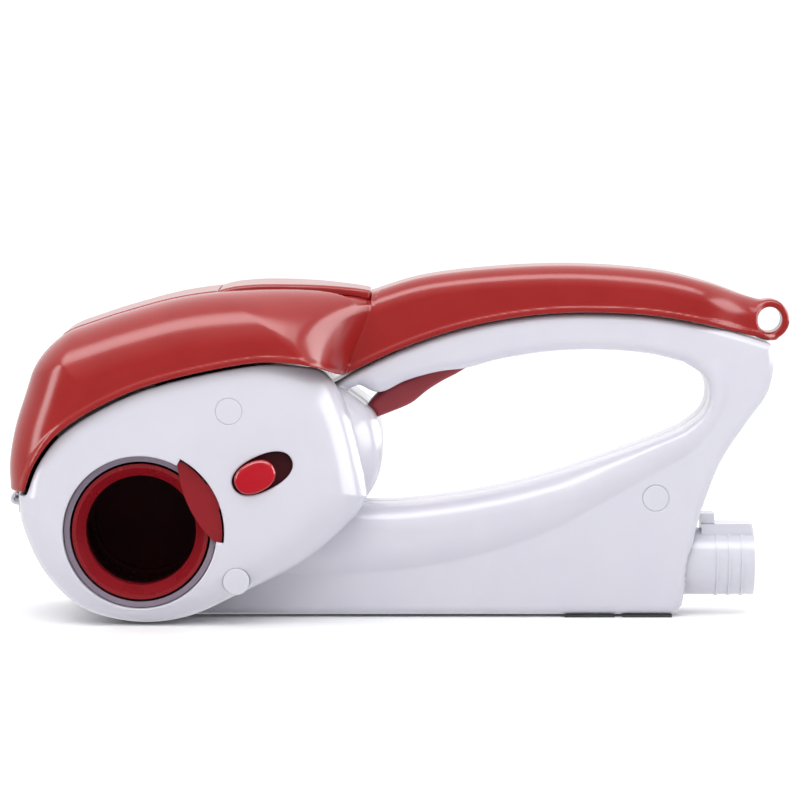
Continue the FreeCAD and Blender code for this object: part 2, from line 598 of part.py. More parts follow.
# ---------------------------------------------------------------- motor, its shaft and the gearbox plates
PILLARS = [(-40, 78), (-18, 74.5), (-22, 49)]
motor_place = place(MOTOR[0], 0, MOTOR[1], TO_Y)
turned("motor_can", [("0", "-<motor_back>"), ("<motor_radius>", "-<motor_back>"),
                     ("<motor_radius>", "<motor_face> - 1.2"), ("<motor_radius> - 1.2", "<motor_face>"),
                     ("5", "<motor_face>"), ("5", "<motor_face> + 1.8"), ("2.1", "<motor_face> + 1.8"),
                     ("2.1", "10"), ("0", "10")], motor_place)
turned("motor_end_cap", [("0", "-<motor_back> - 2.4"), ("<motor_radius> - 1.5", "-<motor_back> - 2.4"),
                         ("<motor_radius> - 0.5", "-<motor_back> - 1.2"), ("<motor_radius> - 0.5", "-<motor_back>"),
                         ("0", "-<motor_back>")], motor_place)
turned("motor_shaft", [("0", "10.5"), ("<shaft_radius>", "10.5"), ("<shaft_radius>", "36.2"), ("0", "36.2")],
       motor_place)
motor_plate = capsule("motor_plate_blank", FIRST_AXLE, MOTOR, 19.5, "<motor_face>", "<motor_face> + 2.6")
finish("motor_plate", cut("motor_plate_cut", motor_plate,
                          rod("motor_boss_hole", MOTOR, "0", "40", "5.05"),
                          rod("motor_plate_axle_hole", FIRST_AXLE, "0", "40", "<axle_radius> + 0.01")))
gear_plate = capsule("gear_plate_blank", DRUM, MOTOR, 19.5, "37", "39.6")
finish("gearbox_plate", cut("gearbox_plate_cut", gear_plate,
                            rod("plate_first_hole", FIRST_AXLE, "0", "60", "<axle_radius> + 0.01"),
                            rod("plate_second_hole", SECOND_AXLE, "0", "60", "<axle_radius> + 0.01"),
                            rod("plate_bush_hole", DRUM, "0", "60", "<bush_radius> + 0.01")))
axles = [rod("first_axle", FIRST_AXLE, "<motor_face> + 0.2", "39.6", "<axle_radius>"),
         rod("second_axle", SECOND_AXLE, "20", "39.6", "<axle_radius>")]
finish("gear_axles", fuse("axles", *axles))
finish("gearbox_pillars", fuse("pillars", *[rod(f"pillar_{index}", spot, "<motor_face> + 2.6", "37",
                                                 "<pillar_radius>") for index, spot in enumerate(PILLARS)]))
drum_place = place(DRUM[0], 0, DRUM[1], TO_Y)
turned("drum_bush", [("<spigot_radius> + <running_fit>", "29"), ("<bush_radius>", "29"), ("<bush_radius>", "39.6"),
                     ("<spigot_radius> + <running_fit>", "39.6")], drum_place)

# ---------------------------------------------------------------- grating drum
turned("drum_front_ring", [("<ring_throat_radius>", "-<drum_front> + 5"), ("<ring_mouth_radius>", "-<drum_front>"), ("<ring_radius>", "-<drum_front>"),
                           ("<ring_radius>", "-<drum_front> + <ring_depth>"),
                           ("<drum_inner_radius> - 0.02", "-<drum_front> + <ring_depth>"),
                           ("<drum_inner_radius> - 0.02", "-<drum_front> + <ring_length>"),
                           ("<ring_throat_radius>", "-<drum_front> + <ring_length>")], drum_place)
turned("drum_hub", [("0", "15"), ("<drum_inner_radius> - 1.5", "15"), ("<drum_inner_radius> - 1.5", "11"),
                    ("<drum_inner_radius> - 0.02", "11"), ("<drum_inner_radius> - 0.02", "<drum_rear> + 1.2"),
                    ("7", "<drum_rear> + 1.2"), ("7", "21"), ("<spigot_radius>", "21"),
                    ("<spigot_radius>", "<spigot_end>"), ("0", "<spigot_end>")], drum_place)
drum_tube = cut("drum_tube", rod("drum_tube_outer", DRUM, "-<drum_front> + <ring_depth>", "<drum_rear>",
                                 "<drum_outer_radius>"),
                rod("drum_tube_inner", DRUM, "-<drum_front>", "<drum_rear> + 1", "<drum_inner_radius>"))
ROWS = 6
ROUND = 12
teeth_holes = []
for row in range(ROWS):
    for step in range(ROUND):
        hole = doc.addObject("Part::Cylinder", f"drum_hole_{row}_{step}")
        bind(hole, "Radius", "<drum_hole_radius>")
        bind(hole, "Height", "<drum_outer_radius> + 1")
        turn = 360 / ROUND * (step + 0.5 * (row % 2))
        hole.Placement = place(DRUM[0], -25 + row * 7, DRUM[1], FreeCAD.Rotation(V(0, 1, 0), turn))
        teeth_holes.append(hole)
finish("grating_drum", cut("grating_tube", drum_tube, *teeth_holes))

# ---------------------------------------------------------------- drum latch with its button and spring
lens = common("lens", rod("lens_right", DRUM, "-<latch_top>", "-<latch_top> + <latch_thick>",
                          "<lens_right_radius>"),
              rod("lens_left", along_latch(size("lens_reach") + size("lens_left_radius")), "-<latch_top>",
                  "-<latch_top> + <latch_thick>", "<lens_left_radius>"))
half = size("tongue_half")
tongue_corners = [along_latch(26, -half), along_latch(55.5, -half), along_latch(55.5, half), along_latch(26, half)]
tongue_sides = [[tongue_corners[index], tongue_corners[(index + 1) % 4]] for index in range(4)]
tongue = extrude("tongue", outline("tongue_flat", *tongue_sides), "-<latch_top>", "-<latch_top> + <latch_thick>")
finish("drum_latch", fuse("latch_plate", lens, tongue))
finish("latch_button", latch_slot("button", size("button_place"), "button_long", "button_wide",
                                  "-<button_top>", "-<latch_top>"))
strap_corners = [along_latch(37.3, -8), along_latch(41.3, -8), along_latch(41.3, 8), along_latch(37.3, 8)]
strap = extrude("strap", outline("strap_flat", *[[strap_corners[index], strap_corners[(index + 1) % 4]]
                                                 for index in range(4)]),
                "-<latch_top> + 0.05", "-<latch_top> + <latch_thick> + 1.4")
strap_way_corners = [along_latch(37, -5.3), along_latch(41.6, -5.3), along_latch(41.6, 5.3), along_latch(37, 5.3)]
strap_way = extrude("strap_way", outline("strap_way_flat", *[[strap_way_corners[index],
                                                              strap_way_corners[(index + 1) % 4]]
                                                             for index in range(4)]),
                    "-<latch_top> - 1", "-<latch_top> + <latch_thick> + 0.2")
finish("latch_guide", cut("guide", strap, strap_way))


def coil(label, start, along, length, radius, wire, turns):
    """A compression spring: a round wire swept along a helix from a place, in a direction."""
    helix = Part.makeHelix(length / turns, length, radius)
    ring = Part.Wire(Part.makeCircle(wire, V(radius, 0, 0), V(0, 1, 0)))
    shape = Part.Wire(helix).makePipeShell([ring], True, True)
    thing = doc.addObject("Part::Feature", label)
    thing.Shape = shape
    thing.Placement = place(*start, FreeCAD.Rotation(V(0, 0, 1), along))
    return finish(label, thing)


spring_start = along_latch(56.2)
slide = V(math.cos(math.radians(LATCH_ANGLE)), 0, math.sin(math.radians(LATCH_ANGLE)))
coil("latch_spring", (spring_start[0], -40.7, spring_start[1]), slide, 13.6, 0.85, 0.2, 9)

# ---------------------------------------------------------------- trigger, its pin, spring and switch
TRIGGER_TOP = [(-12.4, 79), (-10.5, 81.6), (-6.5, 85), (-1, 87.9), (6, 90.6)]
TRIGGER_TAIL = [(25.4, 101), (26.2, 98.6), (25.6, 94.8), (24.3, 92.9)]
TRIGGER_GRIP = [(24.3, 92.9), (20.7, 90.7), (15.1, 87.8), (9.2, 84), (3.7, 79.6), (-3.9, 76.3), (-9.1, 74.3)]
trigger_outline = outline("trigger_outline", TRIGGER_TOP, [(6, 90.6), (16.5, 94.6)], [(16.5, 94.6), (20, 101)],
                          [(20, 101), (25.4, 101)], TRIGGER_TAIL, TRIGGER_GRIP, [(-9.1, 74.3), (-12.4, 79)])
trigger_block = extrude("trigger_block", trigger_outline, "-<trigger_half>", "<trigger_half>")
finish("trigger", cut("trigger_cut", trigger_block,
                      rod("trigger_bore", TRIGGER_PIVOT, "-20", "20", "<trigger_pin_radius> + <running_fit>"),
                      rod("trigger_spring_seat", (11.6, 96.6), "-2.4", "2.4", "3.2")))
finish("trigger_pin", rod("trigger_pivot_pin", TRIGGER_PIVOT, "-10.6", "10.6", "<trigger_pin_radius>"))
coil("trigger_spring", (11.6, 0, 93.75), V(0, 0, 1), 7.2, 1.5, 0.25, 6)
switch_block = block("switch_block", (-3.5, -3.2, 93.6), (7, 3.2, 97.6))
plunger_hole = doc.addObject("Part::Cylinder", "plunger_hole")
bind(plunger_hole, "Radius", "<plunger_radius> + <running_fit>")
plunger_hole.Height = 3.2
plunger_hole.Placement = place(SWITCH[0], 0, 93.2)
finish("switch_body", cut("switch_cut", switch_block, plunger_hole))
plunger = doc.addObject("Part::Cylinder", "plunger_pin")
bind(plunger, "Radius", "<plunger_radius>")
plunger.Height = 5.2
plunger.Placement = place(SWITCH[0], 0, 89.0)
finish("switch_plunger", plunger)

# ---------------------------------------------------------------- battery pack
cells = [bar(f"cell_{index}", PACK, f"<pack_front> + 1 + {index} * (<cell_length> + 0.3)",
             f"<pack_front> + 1 + {index} * (<cell_length> + 0.3) + <cell_length>", "<cell_radius>")
         for index in range(3)]
finish("battery_cells", fuse("cells", *cells))
turned("battery_case", [("5", "<pack_front>"), ("<pack_radius>", "<pack_front>"), ("<pack_radius>", "<pack_seat>"),
                        ("<pack_radius> - <pack_wall>", "<pack_seat>"),
                        ("<pack_radius> - <pack_wall>", "<pack_front> + <pack_wall>"),
                        ("5", "<pack_front> + <pack_wall>")], place(0, 0, size("pack_height"), TO_X))
CAP_RIBS = [118.2, 122.8, 127.6]
cap_parts = [bar("cap_core", PACK, "<pack_seat>", "<pack_end>", "<pack_radius>")]
cap_parts += [bar(f"cap_rib_{index}", PACK, f"{spot} - 0.45", f"{spot} + 0.45", "<pack_radius> + 0.4")
              for index, spot in enumerate(CAP_RIBS)]
cap_parts.append(block("cap_key", (112.5, -7, 30), (131.4, 7, 34.2)))
finish("battery_cap", fuse("cap", *cap_parts))
finish("release_tab", block("tab", (112.3, -5.5, 34.3), (117.4, 5.5, 38)))

# ---------------------------------------------------------------- lever: hood, handle and hanging loop
HOOD_BACK = [(-144.4, 49.6), (-144.7, 60), (-142.3, 72.9), (-137.9, 86.4), (-131, 101), (-124.5, 107.2),
             (-102.1, 114.8), (-83, 120), (-64, 122.6), (-40, 123.3), (-10, 122)]
HOOD_REAR = [(-10, 122), (-13.5, 113.2), (-17.6, 102.8), (-23.2, 91.4)]
hood_outline = outline("hood_outline", HOOD_BACK, HOOD_REAR, HOOD_SEAM,
                       [(-138.6, 49.6), (-144.4, 49.6)])
LEVER_TOP = [(-12, 121.2), (9, 127.3), (37.7, 130.6), (66, 131.4), (95, 129.2), (114, 124.9), (127.6, 120.1),
             (134, 118.2)]
LEVER_SEAM = [(137.6, 103.5), (127.2, 105.9), (113.1, 109.7), (94.1, 113), (75.2, 114.2), (56.2, 113.9),
              (37.3, 111.6), (18.4, 107.3), (-0.6, 100.6), (-16.5, 93.1), (-20, 91.6)]
lever_outline = outline("lever_outline", LEVER_TOP, [(134, 118.2), (137.6, 103.5)], LEVER_SEAM,
                        [(-20, 91.6), (-12, 121.2)])
hood_block = extrude("hood_block", hood_outline, "-<hood_half>", "<hood_half>")


def long_top(edge):
    """True for the side edges along a lever part's front and top."""
    box = edge.BoundBox
    return box.YLength < 0.05 and edge.Length > 120 and box.Center.z > 80 and box.ZMax > 118


hood_soft = rounded("hood_soft", hood_block, size("hood_round"), long_top)
lever_wall = size("lever_wall")
HOOD_BELOW = shifted(HOOD_SEAM, 0, -10)
hood_inner = inner_outline("hood_inner", -lever_wall, HOOD_BACK, HOOD_REAR, HOOD_BELOW,
                           [(-138.6, 40), (-144.4, 40)])
hood_room = extrude("hood_room", hood_inner, "-<hood_half> + <lever_wall>", "<hood_half> - <lever_wall>")
hood_room_soft = rounded("hood_room_soft", hood_room, size("hood_round") - lever_wall, long_top)
handle_block = extrude("handle_block", lever_outline, "-<lever_half>", "<lever_half>")
handle_soft = rounded("handle_soft", handle_block, size("lever_round"), long_top)
handle_inner = inner_outline("handle_inner", -lever_wall, LEVER_TOP[:-1], [(127.6, 120.1), (127.2, 105.9)],
                             shifted(LEVER_SEAM[1:], 0, -6), [(-20, 85.6), (-12, 121.2)])
handle_room = extrude("handle_room", handle_inner, "-<lever_half> + <lever_wall>", "<lever_half> - <lever_wall>")
heel_near = block("heel_near", (129.5, -18, 100), (142, -6, 125))
heel_far = block("heel_far", (129.5, 6, 100), (142, 18, 125))
HOOD_PANEL = [(-124.5, 107.2), (-102.1, 114.8), (-83, 120), (-70, 122)]
CAP_SEAT = [(-67.4, 122.3), (-52, 123.2), (-32, 123.2), (-12.5, 122.2)]
CAP_CROWN = [(-67.4, 122.4), (-62, 124.2), (-50, 125.1), (-32, 124.7), (-17, 123.2), (-12.5, 122.3)]


def band(name, upper, lower, low, high):
    """The strip between two stretches that run the same way."""
    return extrude(name, outline(name + "_flat", upper, [upper[-1], lower[-1]], lower[::-1],
                                 [lower[0], upper[0]]), low, high)


thick = size("panel_thick")
panel_recess = band("panel_recess", shifted(HOOD_PANEL, 0, 4), shifted(HOOD_PANEL, 0, -thick),
                    "-<panel_half> - 0.15", "<panel_half> + 0.15")
cap_recess = band("cap_recess", shifted(CAP_SEAT, 0, 4), shifted(CAP_SEAT, 0, -thick),
                  "-<panel_half> - 0.15", "<panel_half> + 0.15")
finish("hood_inlay", band("inlay", HOOD_PANEL, shifted(HOOD_PANEL, 0, -thick), "-<panel_half>", "<panel_half>"))
finish("thumb_cap", band("cap_plate", CAP_CROWN, shifted(CAP_SEAT, 0, -thick), "-<panel_half>", "<panel_half>"))
barrel = rod("lever_barrel", HINGE, "-<lever_barrel_half>", "<lever_barrel_half>", "<hinge_barrel_radius>")
barrel_web = block("lever_barrel_web", (-144.4, -9.8, 45.6), (-141.8, 9.8, 53))
loop = rod("hang_loop", HANG, "-<loop_half>", "<loop_half>", "<loop_radius>")
lever_solid = fuse("lever_solid", cut("hood_hollow", hood_soft, hood_room_soft),
                   cut("handle_waist", cut("handle_hollow", handle_soft, handle_room), heel_near, heel_far),
                   barrel, barrel_web, loop)
finish("lever_shell", cut("lever", lever_solid, panel_recess, cap_recess,
                          rod("hang_hole", HANG, "-20", "20", "<hang_hole_radius>"),
                          rod("lever_pin_hole", HINGE, "-50", "50", "<hinge_pin_radius> + <running_fit>")))
LINER = LEVER_SEAM[2:-2]
liner_half = "<lever_half> - <lever_wall> - 0.1"
finish("lever_liner", band("liner", shifted(LINER, 0, 1.9), shifted(LINER, 0, 0.1), f"-({liner_half})", liner_half))
finish("hinge_pin", rod("hinge_pin_rod", HINGE, "-<bracket_half>", "<bracket_half>", "<hinge_pin_radius>"))

presser_ring = cut("presser_ring", rod("presser_rear", HINGE, "-<hopper_near> + <presser_gap>",
                                       "<hopper_far> - <presser_gap>", "<hopper_rear_reach> - <presser_gap>"),
                   rod("presser_front", HINGE, "-50", "50", "<hopper_front_reach> + <presser_gap>"))
presser_zone = block("presser_zone", (-142, -40, size("presser_floor")), (-60, 40, 130))
presser_depth = block("presser_depth", (-120, -40, 60), (-70, 40, 90))
presser_body = common("presser_body", presser_ring, presser_zone, fuse("presser_reach", hood_room_soft, presser_depth))
presser_hollow = cut("presser_hollow", rod("presser_hollow_rear", HINGE, "-<hopper_near> + 3",
                                           "<hopper_far> - 3", "<hopper_rear_reach> - 3"),
                     rod("presser_hollow_front", HINGE, "-50", "50", "<hopper_front_reach> + 3"))
presser_inside = common("presser_inside", presser_hollow,
                        block("presser_inside_zone", (-142, -40, size("presser_floor") + 2.2), (-60, 40, 130)))
finish("presser_block", cut("presser", presser_body, presser_inside))

# ---------------------------------------------------------------- screws, plugs and feet
plug_face = {"upper": ("-<head_half>", UPPER_SCREW), "lower": ("-<head_half>", LOWER_SCREW),
             "rear": ("-<casing_half>", REAR_SCREW)}
plugs = [rod(f"plug_{name}", spot, face, f"{face} + 1.6", "<plug_radius>")
         for name, (face, spot) in plug_face.items()]
finish("screw_plugs", fuse("plugs", *plugs))
screws = []
for name, (face, spot) in plug_face.items():
    floor = "-10" if name == "rear" else "-36"
    tip = "8" if name == "rear" else "-12"
    head = rod(f"screw_head_{name}", spot, f"{floor} - 2.2", floor, "<screw_head_radius>")
    screws.append(fuse(f"screw_{name}", head, rod(f"screw_shank_{name}", spot, floor, tip, "<screw_radius>")))
finish("case_screws", fuse("screws", *screws))
feet = [block(f"foot_{index}", (x, y, 0), (x + size("foot_long"), y + size("foot_wide"), size("base_height")))
        for index, (x, y) in enumerate([(61, -15), (61, 8), (82.5, -15), (82.5, 8)])]
finish("rubber_feet", fuse("feet", *feet))
finish("front_foot", block("front_foot_block", (-103.5, -24, 0), (-100.5, -8, size("base_height") + 0.1)))

# ---------------------------------------------------------------- checks and export
doc.recompute()
for thing in doc.Objects:
    if "Invalid" in thing.State or "Error" in thing.State:
        raise RuntimeError(f"{thing.Name} failed: {thing.State}")
for node in nodes:
    if node.Shape.isNull() or not node.Shape.isValid():
        raise RuntimeError(f"{node.Label} has no valid shape")
for node in nodes:
    node.Shape.exportStep(f"parts/{node.Label}.step")
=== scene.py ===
"""Looks for a cordless rotary grater: smooth moulded shells, finishes, floor, lights and camera.

Outlines are (x, z) points in millimetres, in the frame of the CAD model. x runs to the
rear, y away from the drum's mouth and z up. Shells are solids given by a distance field,
negative inside, and meshed on a grid.
"""

import json
import math

import bpy
import numpy as np
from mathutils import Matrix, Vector


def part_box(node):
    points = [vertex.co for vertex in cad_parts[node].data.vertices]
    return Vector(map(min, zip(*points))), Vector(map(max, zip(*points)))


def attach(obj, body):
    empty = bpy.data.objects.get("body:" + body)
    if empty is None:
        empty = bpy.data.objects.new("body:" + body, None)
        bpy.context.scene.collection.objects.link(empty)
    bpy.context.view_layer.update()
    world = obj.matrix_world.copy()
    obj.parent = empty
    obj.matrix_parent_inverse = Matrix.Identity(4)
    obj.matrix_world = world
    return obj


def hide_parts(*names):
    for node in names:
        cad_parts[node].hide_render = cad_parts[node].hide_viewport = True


MM = 0.001
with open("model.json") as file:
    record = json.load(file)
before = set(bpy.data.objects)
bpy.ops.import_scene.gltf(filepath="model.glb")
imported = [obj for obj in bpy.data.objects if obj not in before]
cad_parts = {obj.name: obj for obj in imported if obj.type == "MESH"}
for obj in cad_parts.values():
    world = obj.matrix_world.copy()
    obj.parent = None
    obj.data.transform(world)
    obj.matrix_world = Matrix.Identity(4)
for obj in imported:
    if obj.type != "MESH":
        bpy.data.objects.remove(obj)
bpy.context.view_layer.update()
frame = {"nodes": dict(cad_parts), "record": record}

# ---------------------------------------------------------------- places and sizes, in mm
DRUM = (-96, 35)
HANG = (137.6, 110.9)
LATCH_ANGLE = math.radians(26)
SCREWS = [(-63.2, 79.7), (-60.6, 17)]
REAR_SCREW = (94.8, 44.8)
PLUG_RADIUS = 4.6
HEAD_HALF = 44
COVER_SEAM = 26
BULGE_HALF = 31
GRIP_HALF = 15.6
BAND_RISE = 2.9
WALL = 2.2
HOOD_HALF = 46.5
HOOD_ROUND = 20
LEVER_HALF = 17
LEVER_ROUND = 8
LEVER_WALL = 2.6
LOOP_RADIUS = 7.6
LOOP_HOLE = 4.7
LOOP_HALF = 6
MOUTH_RADIUS = 28.2
PANEL_FRONT = -125.5
PANEL_REAR = -68
PANEL_HALF = 21
CAP_FRONT = -67.6
CAP_REAR = -11.5
NOTCH_RADIUS = 31
SLOT_PLACE = 50.1
SLOT_LONG = 23.7
SLOT_WIDE = 12.8
BUTTON_PLACE = 47.2
BUTTON_LONG = 15.7
BUTTON_WIDE = 11.3
BUTTON_TOP = 46.5
SHUTTER_PLACE = 50.1
SEAM_GAP = 1.3
CREASE_LOW = (-20.5, 92)
CREASE_TOP = (-9, 121)
FLANK_LOW = 7
FLANK_SPREAD = 50
FLANK_POWER = 1.75
NOSE_ROUND = 11
HINGE = (-142.8, 45.6)
BARREL_RADIUS = 2.4
BARREL_HALF = 10
BARREL_ROOM = 0.3
PIN_RADIUS = 1.5
BRACKET_HALF = 22
TRIGGER_MIDDLE = (6.8, 91.5)
TRIGGER_REACH = (20.5, 11.5)
TRIGGER_WAY = 7.3
INLAY_DEPTH = 1.5
RECESS_DEPTH = 4
INLAY_GAP = 0.15
SHUTTER_MIDDLE = -42.0
NOTCH_MIDDLE = math.radians(27)
NOTCH_SPREAD = math.radians(34)
NOTCH_FLOOR = -40.6
FRONT_DIM = 0.14
GRAIN_SCALE = 2500

# ---------------------------------------------------------------- outlines, (x, z) in mm
HOOD_NOSE = [(-144.4, 49.6), (-144.7, 60), (-142.5, 72.9), (-138.4, 86), (-134, 100), (-128, 119),
             (-118, 150)]
HOOD_BACK = [(-200, 79), (-160, 94.6), (-140, 102), (-122.5, 108.1), (-112, 111.7), (-102.1, 114.9),
             (-83, 120), (-64, 122.6), (-40, 123.3), (-12, 121.2)]
CAP_CROWN = [(-67.6, 122.6), (-62, 124.1), (-50, 125), (-32, 124.6), (-17, 123.2), (-11.5, 122.2)]
HOOD_SEAM = [(-138.6, 49.6), (-134.4, 60.2), (-126.8, 70.5), (-115.1, 79), (-97.8, 87.4), (-79.1, 92.9),
             (-58.3, 97), (-46, 97.8), (-32, 95.9), (-21.5, 91)]
LEVER_TOP = [(-12, 121.2), (9, 127.3), (37.7, 130.6), (66, 131.4), (95, 129.2), (114, 124.9),
             (127.6, 120.1), (134, 118.2)]
LEVER_SEAM = [(-21.5, 91), (-0.6, 100.6), (18.4, 107.3), (37.3, 111.6), (56.2, 113.9), (75.2, 114.2),
              (94.1, 113), (113.1, 109.7), (127.2, 105.9), (137.6, 103.5)]
HEAD_LOWER = [(-141.3, 50), (-139.6, 36.5), (-131.8, 19.5), (-118, 6.2), (-99, 1), (-80, 2.6),
              (-61, 10.6), (-36, 23), (-18.5, 38.2)]
HEAD_BULGE = [(-18.5, 38.2), (-9.4, 51.2), (-6.9, 64), (-9.7, 76), (-20, 85)]
HEAD_DECK = [(-20, 85), (-28, 88.5), (-42, 94), (-58, 98), (-78, 99.5), (-100, 94.5), (-122, 81.5),
             (-137, 63), (-141.3, 50)]
COVER_RIM = [(-141, 48), (-139.6, 36.5), (-131.8, 19.5), (-118, 6.2), (-99, 1), (-80, 2.6), (-61, 10.6),
             (-36, 23), (-18.5, 38.2), (-12.6, 47)]
COVER_TOP = [(-12.6, 47), (-14, 57), (-16.8, 70), (-20, 80), (-25.6, 90), (-34.5, 98), (-46, 102),
             (-58.3, 102.2), (-79.1, 98.2), (-97.8, 92.8), (-115.1, 84.4), (-128, 75), (-137.5, 61),
             (-141, 48)]
COLUMN = [(104.8, 4.2), (106.6, 14), (109.4, 29.8), (112.2, 40.4), (118.8, 57.7), (128.1, 72.1),
          (136.2, 83.6), (138.6, 94), (138, 102)]
SEAT = [(138, 102), (127.2, 105.3), (113.1, 109.1), (94.1, 112.4), (75.2, 113.6), (56.2, 113.3),
        (37.3, 111), (18.4, 106.7), (-0.6, 100), (-16.5, 92.5), (-24, 88.5)]
ROOF = [(-15.7, 87), (-8.1, 84.1), (1.8, 88.5), (13.6, 91.8), (24.7, 93.3), (37.5, 96.7), (56.5, 99.5),
        (75, 100), (92, 98.6), (105, 95.6)]
REAR = [(105, 95.6), (112.6, 90.3), (114.6, 83.4), (112.4, 76.6), (105, 70.4)]
FLOOR = [(105, 70.4), (94.7, 66.1), (75.7, 59.3), (56.6, 53), (37.6, 48.1), (18.5, 44.7), (-0.6, 42.6),
         (-12.5, 42.4)]
CREASE = [(-70, 19), (-41, 16.5), (-26, 16), (-0.6, 18), (18, 21), (37, 26), (56, 33), (75, 43),
          (94, 54), (108, 62), (118, 74), (122, 86), (121, 99)]
TRIGGER_TOP = [(-12.4, 79), (-10.5, 81.6), (-6.5, 85), (-1, 87.9), (6, 90.6), (16.5, 94.6),
               (25.6, 94.8), (24.3, 92.9)]
TRIGGER_GRIP = [(24.3, 92.9), (20.7, 90.7), (15.1, 87.8), (9.2, 84), (3.7, 79.6), (-3.9, 76.3),
                (-9.1, 74.3)]


def spline(points, spacing=2.0):
    """A smooth run through the points, as many short straight pieces."""
    p = np.array(points, float)
    if len(p) < 3:
        return p
    ends = np.vstack([2 * p[0] - p[1], p, 2 * p[-1] - p[-2]])
    run = []
    for a, b, c, d in zip(ends, ends[1:], ends[2:], ends[3:]):
        count = max(2, int(np.linalg.norm(c - b) / spacing))
        t = np.linspace(0, 1, count, endpoint=False)[:, None]
        square = (2 * a - 5 * b + 4 * c - d) * t**2
        cube = (3 * b - a - 3 * c + d) * t**3
        run.append(0.5 * (2 * b + (c - a) * t + square + cube))
    return np.vstack(run + [p[-1:]])


def loop(*runs):
    """One closed outline from runs that follow each other."""
    return np.vstack([spline(r) if len(r) > 2 else np.array(r, float) for r in runs])


def ease(t):
    """A smooth step from 0 to 1."""
    t = np.clip(t, 0, 1)
    return t * t * (3 - 2 * t)


def meet(a, b, r):
    """What two solids share, with a rounded edge of radius r."""
    return np.minimum(np.maximum(a, b), -r) + np.hypot(np.maximum(a + r, 0), np.maximum(b + r, 0))


def join(a, b, r):
    """Two solids as one, with a fillet of radius r between them."""
    return -meet(-a, -b, r)


class Block:
    """The grid that one solid is worked out on."""

    def __init__(self, low, high, step):
        self.low = np.array(low, float)
        self.step = step
        axes = [np.arange(a, b + step, step, dtype=np.float32) for a, b in zip(low, high)]
        self.x, self.y, self.z = np.meshgrid(*axes, indexing="ij", sparse=True)

    def outline(self, points):
        """Distance to a closed (x, z) outline, negative inside it."""
        x, z = np.broadcast_arrays(self.x, self.z)
        nearest = np.full(x.shape, 1e12, np.float32)
        inside = np.zeros(x.shape, bool)
        for (ax, az), (bx, bz) in zip(points, np.roll(points, -1, axis=0)):
            length2 = (bx - ax) ** 2 + (bz - az) ** 2
            if length2 < 1e-12:
                continue
            t = np.clip(((x - ax) * (bx - ax) + (z - az) * (bz - az)) / length2, 0, 1)
            nearest = np.minimum(nearest, (x - ax - t * (bx - ax)) ** 2 + (z - az - t * (bz - az)) ** 2)
            if az != bz:
                inside ^= ((az > z) != (bz > z)) & (x < (bx - ax) * (z - az) / (bz - az) + ax)
        return np.where(inside, -1, 1) * np.sqrt(nearest)

    def disc(self, centre, radius):
        """A round rod along y."""
        return np.hypot(self.x - centre[0], self.z - centre[1]) - radius

    def oval(self, place, long, wide):
        """A full oval along the latch's line, so far from the drum's axis."""
        u, v = self.along_latch()
        fullness = 2.25
        across = np.abs(2 * (u - place) / long) ** fullness + np.abs(2 * v / wide) ** fullness
        reach = across ** (1 / fullness)
        return (reach - 1) * wide / 2

    def along_latch(self):
        """Places along and across the latch's line, from the drum's axis."""
        dx = self.x - DRUM[0]
        dz = self.z - DRUM[1]
        c, s = math.cos(LATCH_ANGLE), math.sin(LATCH_ANGLE)
        return dx * c + dz * s, dz * c - dx * s

    def sample(self, f, p):
        """The field and its slope at points given in cells."""
        i = np.clip(p.astype(int), 0, np.array(f.shape) - 2)
        t = p - i
        value = np.zeros(len(p))
        slope = np.zeros((len(p), 3))
        for corner in np.ndindex(2, 2, 2):
            c = np.array(corner)
            w = np.where(c, t, 1 - t)
            g = f[tuple((i + c).T)]
            value += g * w.prod(1)
            for axis in range(3):
                rest = [k for k in range(3) if k != axis]
                slope[:, axis] += g * w[:, rest].prod(1) * (1 if c[axis] else -1)
        return value, slope

    def mesh(self, name, f):
        """The surface where the field is zero, as a Blender object in metres."""
        f = np.broadcast_to(f, (self.x.size, self.y.size, self.z.size)).astype(np.float32)
        f = np.pad(f, 1, constant_values=self.step)
        inside = f < 0
        cells = np.zeros(np.array(f.shape) - 1, np.uint8)
        for a, b, c in np.ndindex(2, 2, 2):
            cells += inside[a:a + cells.shape[0], b:b + cells.shape[1], c:c + cells.shape[2]]
        active = np.argwhere((cells > 0) & (cells < 8))
        number = np.full(cells.shape, -1, np.int32)
        number[tuple(active.T)] = np.arange(len(active))
        total = np.zeros((len(active), 3))
        count = np.zeros(len(active))
        for corner in np.ndindex(2, 2, 2):
            start = np.array(corner)
            for axis in np.flatnonzero(start == 0):
                along = np.eye(3, dtype=int)[axis]
                fa = f[tuple((active + start).T)]
                fb = f[tuple((active + start + along).T)]
                crossed = (fa < 0) != (fb < 0)
                t = np.where(crossed, fa / np.where(crossed, fa - fb, 1), 0)
                total += np.where(crossed[:, None], start + t[:, None] * along, 0)
                count += crossed
        points = active + total / count[:, None]
        for _ in range(3):
            value, slope = self.sample(f, points)
            size = (slope**2).sum(1) + 1e-9
            points -= np.clip(value / size, -0.6, 0.6)[:, None] * slope * 0.9
        quads = []
        for axis in range(3):
            along, u, v = np.roll(np.eye(3, dtype=int), -axis, axis=0)
            ahead = inside[tuple(slice(1 if s else None, None) for s in along)]
            behind = inside[tuple(slice(None, -1 if s else None) for s in along)]
            edges = np.argwhere(ahead != behind)
            flat = [number[tuple((edges - a * u - b * v).T)] for a, b in ((0, 0), (1, 0), (1, 1), (0, 1))]
            quad = np.stack(flat, axis=1)
            turned = ~inside[tuple(edges.T)]
            quad[turned] = quad[turned][:, ::-1]
            quads.append(quad)
        made = bpy.data.meshes.new(name)
        made.from_pydata(((points - 1) * self.step + self.low) * MM, [], np.vstack(quads).tolist())
        made.shade_smooth()
        made.update()
        piece = bpy.data.objects.new(name, made)
        bpy.context.scene.collection.objects.link(piece)
        return piece


